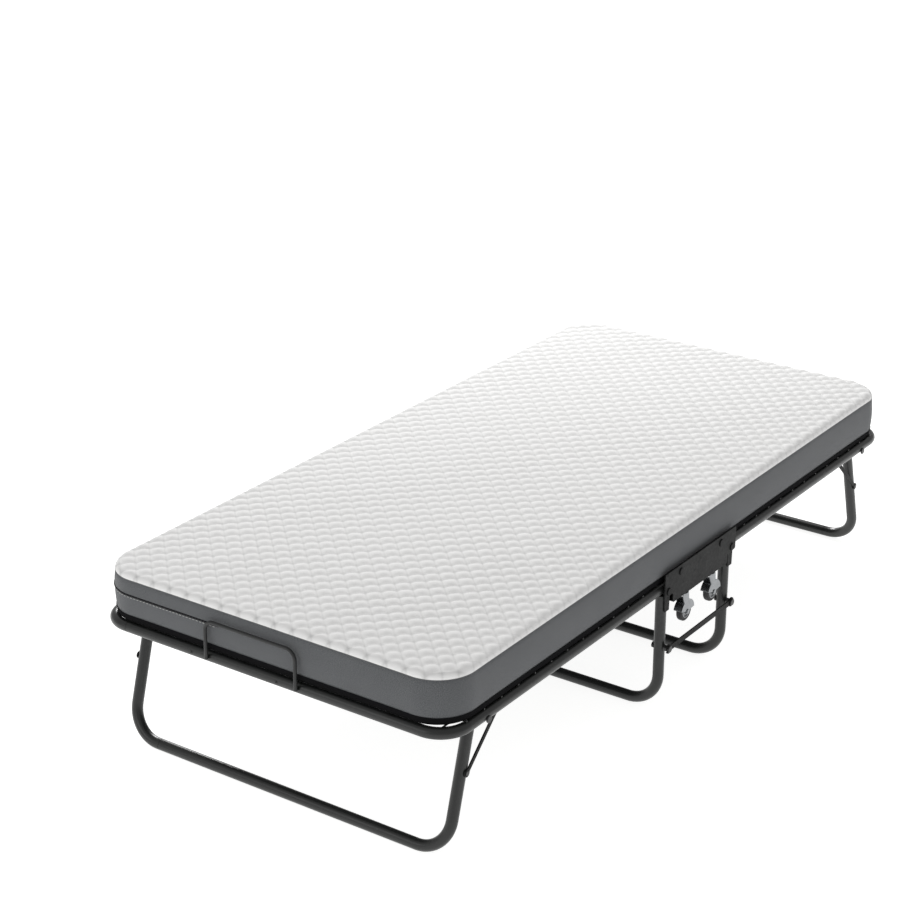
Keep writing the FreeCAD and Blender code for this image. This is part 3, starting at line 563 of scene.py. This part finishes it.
def swellField():
    # Cloth run on the closed block. Returns start places and how far each point moved.
    shell = softShell()
    remesh = shell.modifiers.new("even", "REMESH")
    remesh.mode = "VOXEL"
    remesh.voxel_size = swell["voxel"]
    bpy.context.view_layer.objects.active = shell
    shell.select_set(True)
    bpy.ops.object.modifier_apply(modifier="even")
    before = np.array([v.co for v in shell.data.vertices])
    cloth = shell.modifiers.new("swell", "CLOTH")
    cloth.settings.use_pressure = True
    cloth.settings.uniform_pressure_force = swell["pressure"]
    cloth.settings.quality = swell["quality"]
    cloth.settings.tension_stiffness = swell["stretch"]
    cloth.settings.compression_stiffness = swell["stretch"]
    cloth.settings.bending_stiffness = swell["bending"]
    cloth.settings.effector_weights.gravity = 0.0
    cloth.point_cache.frame_start = 1
    cloth.point_cache.frame_end = swell["frames"]
    for step in range(1, swell["frames"] + 1):
        scene.frame_set(step)
    graph = bpy.context.evaluated_depsgraph_get()
    after = np.array([v.co for v in shell.evaluated_get(graph).data.vertices])
    scene.frame_set(1)
    bpy.data.objects.remove(shell)
    moved = after - before
    length = np.linalg.norm(moved, axis=1, keepdims=True)
    moved *= np.minimum(1.0, swell["cap"] / np.maximum(length, 1e-9))
    moved[:, 2] = np.where(moved[:, 2] > 0, moved[:, 2] * swell["topShare"], 0.0)
    print("cloth run done:", len(before), "points, largest move", round(float(length.max()), 4))
    return before, moved


field = swellField()


def addSwell(points):
    # Carries the cloth run's movement to a finer mesh.
    if field is None:
        return points
    before, moved = field
    tree = kdtree.KDTree(len(before))
    for i, p in enumerate(before):
        tree.insert(p, i)
    tree.balance()
    out = points.copy()
    for i, p in enumerate(points):
        total = 0.0
        shift = np.zeros(3)
        for _, index, distance in tree.find_n(Vector(p), swell["neighbours"]):
            weight = 1.0 / (distance + swell["soften"])
            total += weight
            shift += moved[index] * weight
        out[i] += shift / total
    return out


def topCover():
    xs = gradedLine(halfX, mattress["step"])
    ys = gradedLine(halfY, mattress["step"])
    gx, gy = np.meshgrid(xs, ys, indexing="ij")
    px, py = roundCorners(gx, gy, halfX, halfY, mattress["corner"])
    d = edgeDistance(px, py, halfX, halfY, mattress["corner"])
    fade = np.clip(d / mattress["edgeFade"], 0, 1)
    fade = fade * fade * (3 - 2 * fade)
    crown = mattress["crown"] * np.clip(d / mattress["crownReach"], 0, 1) ** mattress["crownPower"]
    nearEdge = quilt["edgeShare"] + (1 - quilt["edgeShare"]) * fade
    relief = quilt["puff"] * nearEdge * (quiltRelief(px, py) - quilt["level"])
    relief = np.where(d < quilt["seamFlat"], relief * d / quilt["seamFlat"], relief)
    sag = mattress["sag"] * smoothNoise(px, py, mattress["sagSize"], 7) * fade
    z = mattress["top"] - edgeDrop(d) + crown * fade + relief + sag
    return np.stack([px.ravel(), py.ravel(), z.ravel()], axis=1), px, py


topPoints, flatX, flatY = topCover()
topRows, topCols = flatX.shape
topPoints = addSwell(topPoints)
print("top cover:", len(topPoints), "points")


def outlineNormals(x, y):
    qx = np.abs(x) - (halfX - mattress["corner"])
    qy = np.abs(y) - (halfY - mattress["corner"])
    inCorner = (qx > 0) & (qy > 0)
    nx = np.where(inCorner, qx, np.where(qx > qy, 1.0, 0.0)) * np.sign(x)
    ny = np.where(inCorner, qy, np.where(qx > qy, 0.0, 1.0)) * np.sign(y)
    size = np.hypot(nx, ny)
    return nx / size, ny / size


ring = ringOf(topRows, topCols)
ringIndex = np.array([i * topCols + j for i, j in ring])
ringX = flatX.ravel()[ringIndex]
ringY = flatY.ravel()[ringIndex]
normX, normY = outlineNormals(ringX, ringY)
ringLength = np.concatenate([[0.0], np.cumsum(np.hypot(np.diff(ringX), np.diff(ringY)))])


def splitAt(name, verts, faces, uv, material):
    # Two pieces that meet over the middle of the carriage, one for each deck.
    made = []
    verts = np.asarray(verts, float)
    uv = np.asarray(uv, float)
    faceArray = np.asarray(faces)
    centre = verts[faceArray].mean(axis=1)[:, 0]
    for end, keep in (("Head", centre > 0), ("Foot", centre < 0)):
        chosen = faceArray[keep]
        used, inverse = np.unique(chosen, return_inverse=True)
        mesh = fillMesh(name + end, verts[used], inverse.reshape(chosen.shape).tolist(), uv[used])
        made.append((addObject(name + end, mesh, material), end.lower()))
    return made


def bendWithDeck(pieces):
    for obj, end in pieces:
        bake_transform(obj)


def gridFaces(rows, cols):
    faces = []
    for i in range(rows - 1):
        for j in range(cols - 1):
            a = i * cols + j
            faces.append((a, a + cols, a + cols + 1, a + 1))
    return faces


topFaces = gridFaces(topRows, topCols)
topPieces = splitAt("quiltedTop", topPoints, topFaces, topPoints[:, :2], quiltedKnit)
for obj, end in topPieces:
    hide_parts(end + "_mattress_half", "mattress_fold_section")
bendWithDeck(topPieces)


# Walls of the cover: the grey heather band, and below it a near-black skirt, painted shade filling the gap
# above the rails.
ripple = {"depth": 0.0007, "size": 0.16, "slant": 2.0}


def wallRings(profile):
    count = len(ringX)
    rows = []
    for k, (out, z) in enumerate(profile):
        share = math.sin(math.pi * k / (len(profile) - 1))
        wave = ripple["depth"] * smoothNoise(ringX, ringY + z * ripple["slant"], ripple["size"], 11) * share
        x = ringX + normX * (out + wave)
        y = ringY + normY * (out + wave)
        rows.append(np.stack([x, y, np.full(count, z)], axis=1))
    points = np.concatenate(rows)
    uv = np.concatenate([np.stack([ringLength, np.full(count, z)], axis=1) for _, z in profile])
    faces = []
    for k in range(len(profile) - 1):
        for i in range(count):
            j = (i + 1) % count
            faces.append((k * count + i, (k + 1) * count + i, (k + 1) * count + j, k * count + j))
    return points, faces, uv


bandPoints, bandFaces, bandUv = wallRings(bandProfile())
bandPoints = addSwell(bandPoints)
bandPieces = splitAt("sideBand", bandPoints, [f[::-1] for f in bandFaces], bandUv, heatherBand)
bendWithDeck(bandPieces)
# The near-black skirt below the band is painted shade: it fills the shadow gap above the rails.
shadeSkirtPoints, shadeSkirtFaces, shadeSkirtUv = wallRings(shadeSkirtProfile())
shadeSkirtPieces = splitAt("lowerShadeSkirt", shadeSkirtPoints, [f[::-1] for f in shadeSkirtFaces], shadeSkirtUv, darkTapeAndShade)
bendWithDeck(shadeSkirtPieces)


# Underside sheet with shallow waves, inside the lip of the near-black shade skirt and just above the mesh
# wires.
under = {"overlap": 0.004, "step": 0.014, "lift": 0.0005, "wave": 0.0006, "waveSize": 0.2}


def underside():
    lip = mattress["lip"] - under["overlap"]
    hx, hy = halfX - lip, halfY - lip
    xs = gradedLine(hx, under["step"], edges=(0.0, under["overlap"]))
    ys = gradedLine(hy, under["step"], edges=(0.0, under["overlap"]))
    gx, gy = np.meshgrid(xs, ys, indexing="ij")
    px, py = roundCorners(gx, gy, hx, hy, mattress["corner"] - lip)
    z = mattress["bottom"] + under["lift"] + under["wave"] * (1 + smoothNoise(px, py, under["waveSize"], 19))
    points = np.stack([px.ravel(), py.ravel(), z.ravel()], axis=1)
    # Turned over, so the sheet faces down.
    faces = [(a, d, c, b) for a, b, c, d in gridFaces(len(xs), len(ys))]
    return points, faces


underPoints, underFaces = underside()
underPieces = splitAt("underSheet", underPoints, underFaces, underPoints[:, :2], underCloth)
bendWithDeck(underPieces)


# Zip along the foot end and round its left corner, with pale stitching and a dark tape that also stands in for
# painted shade, the shadow line under the zip's flap.
zipper = {"height": 0.378, "tapeAndFlapShade": 0.0046, "stand": 0.0006, "bevel": 0.0004, "step": 0.006,
          "startY": 0.118, "endX": -0.30, "tooth": 0.0018, "toothPitch": 0.0042, "toothFill": 0.32,
          "toothRise": 0.0009, "stitch": 0.0052, "stitchGap": 0.0038, "stitchDrop": 0.0040,
          "stitchLift": 0.0002, "thread": 0.0007, "taper": 0.6}


def outlinePoint(s):
    # A point and outward normal along the band, by length along the outline.
    total = ringLength[-1] + math.hypot(ringX[0] - ringX[-1], ringY[0] - ringY[-1])
    s = s % total
    closed = np.append(ringLength, total)
    x = np.interp(s, closed, np.append(ringX, ringX[0]))
    y = np.interp(s, closed, np.append(ringY, ringY[0]))
    nx, ny = outlineNormals(np.array([x]), np.array([y]))
    return x, y, float(nx[0]), float(ny[0])


def nearestLength(x, y):
    return float(ringLength[np.argmin(np.hypot(ringX - x, ringY - y))])


bandTree = kdtree.KDTree(len(bandPoints))
for i, p in enumerate(bandPoints):
    bandTree.insert(p, i)
bandTree.balance()


def onBand(s, z, lift):
    # Place a point on the band's own surface, lifted outward a little.
    x, y, nx, ny = outlinePoint(s)
    near = [bandPoints[k] for _, k, _ in bandTree.find_n(Vector((x, y, z)), 4)]
    out = float(np.mean([(p[0] - x) * nx + (p[1] - y) * ny for p in near]))
    return Vector((x + nx * (out + lift), y + ny * (out + lift), z))


zipFrom, zipTo = sorted((nearestLength(-halfX, zipper["startY"]), nearestLength(zipper["endX"], halfY)))


def stripMesh(name, low, high, lift, step, material):
    verts, uv, faces = [], [], []
    count = max(2, int((zipTo - zipFrom) / step))
    section = [(low, 0.0), (low + zipper["bevel"], lift), (high - zipper["bevel"], lift), (high, 0.0)]
    for i in range(count + 1):
        s = zipFrom + (zipTo - zipFrom) * i / count
        for z, up in section:
            verts.append(tuple(onBand(s, z, up)))
            uv.append((s, z))
    for i in range(count):
        for k in range(3):
            a = i * 4 + k
            faces.append((a, a + 4, a + 5, a + 1))
    return addObject(name, fillMesh(name, verts, faces, uv), material)


# The dark zip tape strip is partly painted shade: it stands for the shadow under the zip's flap.
tapeMid = zipper["height"]
tapeAndFlapShade = stripMesh("darkTapeAndShade", tapeMid - zipper["tapeAndFlapShade"] / 2, tapeMid + zipper["tapeAndFlapShade"] / 2, zipper["stand"],
                 zipper["step"], darkTapeAndShade)


def smallBlocks(name, places, size, material):
    # Many small tapered blocks in one mesh: zip teeth or stitches.
    sides = ((0, 1, 3, 2), (4, 6, 7, 5), (0, 2, 6, 4), (1, 5, 7, 3), (0, 4, 5, 1), (2, 3, 7, 6))
    taper = zipper["taper"]
    verts, faces, uv = [], [], []
    for place, axisU, axisV, axisN in places:
        base = len(verts)
        for u in (-1, 1):
            for v in (-1, 1):
                verts.append(tuple(place + axisU * u * size[0] + axisV * v * size[1]))
        for u in (-taper, taper):
            for v in (-taper, taper):
                verts.append(tuple(place + axisU * u * size[0] + axisV * v * size[1] + axisN * size[2]))
        uv += [(0.0, 0.0)] * 8
        for a, b, c, d in sides:
            faces.append((base + a, base + b, base + c, base + d))
    return addObject(name, fillMesh(name, verts, faces, uv), material)


def alongZip(pitch, z, lift):
    places = []
    count = int((zipTo - zipFrom) / pitch)
    for i in range(count):
        s = zipFrom + (i + 0.5) * pitch
        here = onBand(s, z, lift)
        ahead = onBand(s + 0.001, z, lift)
        axisU = (ahead - here).normalized()
        axisN = axisU.cross(Vector((0, 0, 1)))
        _, _, nx, ny = outlinePoint(s)
        if axisN.dot(Vector((nx, ny, 0))) < 0:
            axisN = -axisN
        places.append((here, axisU, Vector((0, 0, 1)), axisN))
    return places


toothSize = (zipper["toothPitch"] * zipper["toothFill"], zipper["tooth"] / 2, zipper["toothRise"])
stitchSize = (zipper["stitch"] / 2, zipper["thread"], zipper["thread"])
toothPlaces = alongZip(zipper["toothPitch"], tapeMid, zipper["stand"])
stitchPlaces = alongZip(zipper["stitch"] + zipper["stitchGap"], tapeMid - zipper["stitchDrop"],
                        zipper["stitchLift"])
teeth = smallBlocks("zipTeeth", toothPlaces, toothSize, boltBlack)
stitches = smallBlocks("zipStitches", stitchPlaces, stitchSize, paleThread)
for piece in (tapeAndFlapShade, teeth, stitches):
    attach(piece, "foot_deck")


# Piping in the seam between the white top and the band.
piping = {"radius": 0.0011, "sides": 6, "inset": 0.0004, "below": 0.0004}


def seamCord():
    radius, sides = piping["radius"], piping["sides"]
    z = seamZ - piping["below"]
    count = len(ringX)
    points, uv = [], []
    for k in range(sides):
        angle = 2 * math.pi * k / sides
        out = -piping["inset"] + radius * math.cos(angle)
        up = radius * math.sin(angle)
        points.append(np.stack([ringX + normX * out, ringY + normY * out, np.full(count, z + up)], axis=1))
        uv.append(np.stack([ringLength, np.full(count, k * radius)], axis=1))
    faces = []
    for k in range(sides):
        m = (k + 1) % sides
        for i in range(count):
            j = (i + 1) % count
            faces.append((k * count + i, k * count + j, m * count + j, m * count + i))
    return np.concatenate(points), faces, np.concatenate(uv)


cordPoints, cordFaces, cordUv = seamCord()
cordPoints = addSwell(cordPoints)
cordPieces = splitAt("seamCord", cordPoints, cordFaces, cordUv, heatherBand)
bendWithDeck(cordPieces)
print("mattress ready")


# Weld beads where the crossbars meet the deck tube.
weld = {"bead": 0.0016, "ripples": 26, "rippleDepth": 0.22, "spread": 0.4, "around": 72, "across": 6,
        "railY": 0.4325}


def weldRing(name, centre, axis, radius, body):
    # Rippled bead round the end of a bar.
    direction = Vector(axis).normalized()
    side = direction.orthogonal().normalized()
    other = direction.cross(side)
    verts, faces, uv = [], [], []
    around, across = weld["around"], weld["across"]
    for i in range(around):
        angle = 2 * math.pi * i / around
        bead = weld["bead"] * (1.0 + weld["rippleDepth"] * math.sin(weld["ripples"] * angle))
        out = side * math.cos(angle) + other * math.sin(angle)
        for k in range(across):
            turn = 2 * math.pi * k / across
            verts.append(tuple(Vector(centre) + out * (radius + bead * weld["spread"] * math.cos(turn))
                               + direction * bead * math.sin(turn)))
            uv.append((i / around, k / across))
    for i in range(around):
        for k in range(across):
            a, b = i * across + k, i * across + (k + 1) % across
            c, d = ((i + 1) % around) * across + (k + 1) % across, ((i + 1) % around) * across + k
            faces.append((a, b, c, d))
    obj = addObject(name, fillMesh(name, verts, faces, uv), tubeBlack)
    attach(obj, body)


for end, sign in (("head", 1), ("foot", -1)):
    low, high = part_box(end + "_deck_crossbars")
    barZ = (low.z + high.z) / 2
    barRadius = (high.z - low.z) / 2
    innerX = (low.x if sign > 0 else high.x) + sign * barRadius
    outerX = (high.x if sign > 0 else low.x) - sign * barRadius
    for label, x in (("Inner", innerX), ("Middle", outerX)):
        for hand, y in (("Left", weld["railY"]), ("Right", -weld["railY"])):
            weldRing("weld" + end.capitalize() + label + hand, (x, y, barZ), (0, 1, 0), barRadius,
                     end + "_deck")


# Small screws on the end rails. "sideways" is their Y on the head rail, and the foot rail is turned half round.
screw = {"radius": 0.0036, "height": 0.0022, "rings": 6, "around": 28, "dome": 0.86, "recessFrom": 0.6,
         "recessWidth": 0.88, "recessDepth": 0.45, "centreHeight": 0.55,
         "railX": 0.943, "railRadius": 0.0125, "railZ": 0.300, "sunk": 0.0003, "sideways": (0.033, -0.191)}


def screwHead(name, place, direction, body):
    # Domed cross-recess screw.
    radius, height = screw["radius"], screw["height"]
    normal = Vector(direction).normalized()
    side = normal.orthogonal().normalized()
    other = normal.cross(side)
    verts, faces, uv = [], [], []
    rings, around = screw["rings"], screw["around"]
    for k in range(rings):
        t = k / (rings - 1)
        r = radius * math.cos(t * math.pi / 2 * screw["dome"])
        h = height * math.sin(t * math.pi / 2)
        for i in range(around):
            angle = 2 * math.pi * i / around
            inCross = t > screw["recessFrom"] and abs(math.cos(2 * angle)) > screw["recessWidth"]
            dip = screw["recessDepth"] * height if inCross else 0.0
            verts.append(tuple(Vector(place) + (side * math.cos(angle) + other * math.sin(angle)) * r
                               + normal * (h - dip)))
            uv.append((i / around, t))
    for k in range(rings - 1):
        for i in range(around):
            j = (i + 1) % around
            faces.append((k * around + i, k * around + j, (k + 1) * around + j, (k + 1) * around + i))
    base = len(verts)
    verts.append(tuple(Vector(place) + normal * height * screw["centreHeight"]))
    uv.append((0.5, 1.0))
    for i in range(around):
        faces.append(((rings - 1) * around + i, (rings - 1) * around + (i + 1) % around, base))
    obj = addObject(name, fillMesh(name, verts, faces, uv), boltBlack)
    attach(obj, body)


screwX = screw["railX"] + screw["railRadius"] - screw["sunk"]
for end, sign in (("head", 1), ("foot", -1)):
    for label, y in zip("AB", screw["sideways"]):
        screwHead("railScrew" + end.capitalize() + label, (sign * screwX, sign * y, screw["railZ"]),
                  (sign, 0, 0), end + "_deck")
print("frame details ready")


# Floor, light and camera.
lighting = {"sky": 0.52, "key": 138.0, "side": 20.0, "floorGlow": 0.88}
floorLook = {"reach": 30, "patchScale": 0.4, "dark": (0.50, 0.50, 0.498, 1), "light": (0.52, 0.52, 0.518, 1),
             "glow": (1.0, 1.0, 0.995, 1), "rough": 0.9, "specular": 0.1}


def makeStage():
    mesh = bpy.data.meshes.new("studioFloor")
    reach = floorLook["reach"]
    corners = [(-reach, -reach, 0), (reach, -reach, 0), (reach, reach, 0), (-reach, reach, 0)]
    mesh.from_pydata(corners, [], [(0, 1, 2, 3)])
    floor = bpy.data.objects.new("studioFloor", mesh)
    scene.collection.objects.link(floor)
    material, tree, shader = newMaterial("paleFloor")
    coords = addNode(tree, "ShaderNodeTexCoord").outputs["Object"]
    patches = noiseNode(tree, coords, floorLook["patchScale"], 2.0)
    tree.links.new(mixColour(tree, patches, floorLook["dark"], floorLook["light"]), shader.inputs["Base Color"])
    shader.inputs["Emission Color"].default_value = floorLook["glow"]
    shader.inputs["Emission Strength"].default_value = lighting["floorGlow"]
    shader.inputs["Roughness"].default_value = floorLook["rough"]
    shader.inputs["Specular IOR Level"].default_value = floorLook["specular"]
    mesh.materials.append(material)


def softLight(name, place, target, size, power):
    data = bpy.data.lights.new(name, "AREA")
    data.shape = "RECTANGLE"
    data.size, data.size_y = size
    data.energy = power
    lamp = bpy.data.objects.new(name, data)
    lamp.location = place
    lamp.rotation_euler = (Vector(target) - Vector(place)).to_track_quat("-Z", "Y").to_euler()
    scene.collection.objects.link(lamp)


makeStage()
world = bpy.data.worlds.new("studioSky")
world.use_nodes = True
sky = world.node_tree.nodes["Background"]
sky.inputs["Color"].default_value = (1.0, 1.0, 1.0, 1)
sky.inputs["Strength"].default_value = lighting["sky"]
scene.world = world
softLight("highLeft", (2.7, 2.5, 2.6), (0, 0, 0.35), (1.2, 1.0), lighting["key"])
softLight("footSide", (-4.2, 1.2, 1.8), (-0.6, 0, 0.35), (2.5, 2.0), lighting["side"])

view = {"place": (-4.021, -2.621, 2.475), "azimuth": -54.8, "elevation": 22.7, "lens": 90.66, "sensor": 36.0}


def makeCamera():
    data = bpy.data.cameras.new("studioCamera")
    data.lens = view["lens"]
    data.sensor_width = view["sensor"]
    camera = bpy.data.objects.new("studioCamera", data)
    a, e = math.radians(view["azimuth"]), math.radians(view["elevation"])
    back = Vector((math.sin(a) * math.cos(e), -math.cos(a) * math.cos(e), math.sin(e)))
    camera.location = view["place"]
    camera.rotation_euler = (-back).to_track_quat("-Z", "Y").to_euler()
    scene.collection.objects.link(camera)
    scene.camera = camera


makeCamera()
scene.view_settings.view_transform = "Standard"
print("stage ready")
